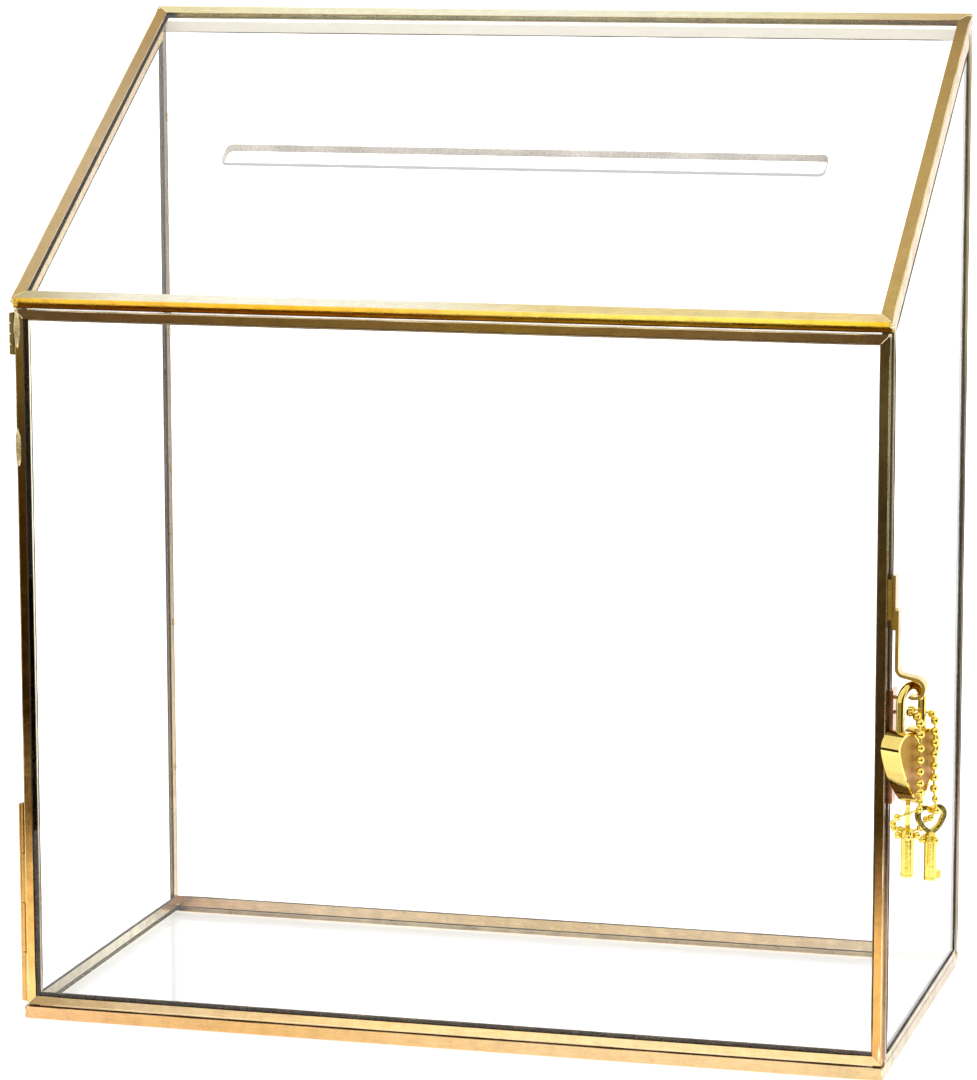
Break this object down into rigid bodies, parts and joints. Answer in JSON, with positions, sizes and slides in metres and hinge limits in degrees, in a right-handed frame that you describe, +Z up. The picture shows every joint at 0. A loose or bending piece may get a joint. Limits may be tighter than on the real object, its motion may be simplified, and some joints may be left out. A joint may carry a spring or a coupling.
{
  "type": "card box",
  "caption": "Glazed card box with brass-bound panes, sloping roof with a card slot, hinged front door, hasp, heart padlock and keys on a ball chain.",
  "frame": {"origin": "centre of the footprint, on the plane the box stands on", "axes": "+Z up, +X to the right seen from the door, +Y to the back; the door is on -Y"},
  "size_m": [0.3206, 0.1679, 0.3417],
  "materials": {
    "brass_channel": "brushed and lacquered, with darker lip edges",
    "hinge_brass": "soldered tube, satin",
    "hasp_brass": "polished sheet",
    "lock_gold": "bright gold plating",
    "lock_face": "fine matte",
    "spring_steel": "bright drawn wire",
    "clear_glass": "clear polished float glass"
  },
  "bodies": {
    "frame": {"bottom_binding": "lock_gold", "bottom_glass": "clear_glass", "rear_bottom_channel": "brass_channel", "rear_right_channel": "brass_channel", "rear_top_channel": "brass_channel", "rear_left_channel": "brass_channel", "rear_glass": "clear_glass", "left_bottom_channel": "brass_channel", "left_rear_channel": "brass_channel", "left_top_channel": "brass_channel", "left_front_channel": "brass_channel", "left_glass": "clear_glass", "right_bottom_channel": "brass_channel", "right_front_channel": "brass_channel", "right_top_channel": "brass_channel", "right_rear_channel": "brass_channel", "right_glass": "clear_glass", "roof_front_channel": "brass_channel", "roof_left_channel": "brass_channel", "roof_rear_channel": "brass_channel", "roof_right_channel": "brass_channel", "roof_glass": "clear_glass", "lower_hinge_frame_leaf": "hinge_brass", "upper_hinge_frame_leaf": "hinge_brass", "lower_hinge_pin": "hinge_brass", "upper_hinge_pin": "hinge_brass", "staple_plate": "hasp_brass", "staple_loop": "hasp_brass"},
    "door": {"door_bottom_channel": "brass_channel", "door_left_channel": "brass_channel", "door_top_channel": "brass_channel", "door_right_channel": "brass_channel", "door_glass": "clear_glass", "lower_hinge_door_leaf": "hinge_brass", "upper_hinge_door_leaf": "hinge_brass", "hasp_plate": "hasp_brass", "hasp_strap": "hasp_brass"},
    "shackle": {"shackle": "lock_gold"},
    "lock_case": {"lock_case": "lock_gold", "lock_face_plate": "lock_face", "retaining_pin": "lock_gold", "shackle_spring": "spring_steel"},
    "key_plug": {"key_plug": "lock_gold"},
    "latch": {"latch_bolt": "lock_gold"},
    "chain": {"chain_balls": "lock_gold", "chain_links": "lock_gold"},
    "key_a": {"key_a": "lock_gold"},
    "key_b": {"key_b": "lock_gold"}
  },
  "joints": [
    {"name": "door_hinge", "type": "hinge", "parent": "frame", "child": "door", "pos_m": [-0.1504, -0.0745, 0.0406], "axis": [0, 0, -1], "range_deg": [0, 170]},
    {"name": "padlock_swing", "type": "hinge", "parent": "door", "child": "shackle", "pos_m": [0.15715, -0.07242, 0.1285], "axis": [0, -1, 0], "range_deg": [0, 12]},
    {"name": "shackle_release", "type": "slide", "parent": "shackle", "child": "lock_case", "axis": [0, 0, -1], "range_m": [0, 0.0032], "deforming": ["shackle_spring"]},
    {"name": "key_plug_turn", "type": "hinge", "parent": "lock_case", "child": "key_plug", "pos_m": [0.15715, -0.07242, 0.1043], "axis": [0.8746, -0.4848, 0], "range_deg": [0, 90]},
    {"name": "latch_slide", "type": "slide", "parent": "lock_case", "child": "latch", "axis": [0.4848, 0.8746, 0], "range_m": [0, 0.0008], "stiffness_N_per_m": 150, "springref_m": -0.0005},
    {"name": "chain_swing", "type": "hinge", "parent": "shackle", "child": "chain", "pos_m": [0.15982, -0.06761, 0.122], "axis": [-0.4848, -0.8746, 0], "range_deg": [0, 10]},
    {"name": "key_a_swing", "type": "hinge", "parent": "chain", "child": "key_a", "pos_m": [0.1642, -0.07348, 0.0886], "axis": [0.6428, -0.766, 0], "range_deg": [-12, 12]},
    {"name": "key_b_swing", "type": "hinge", "parent": "chain", "child": "key_b", "pos_m": [0.1585, -0.0841, 0.0919], "axis": [0.986, 0.1668, 0], "range_deg": [-12, 12]}
  ]
}
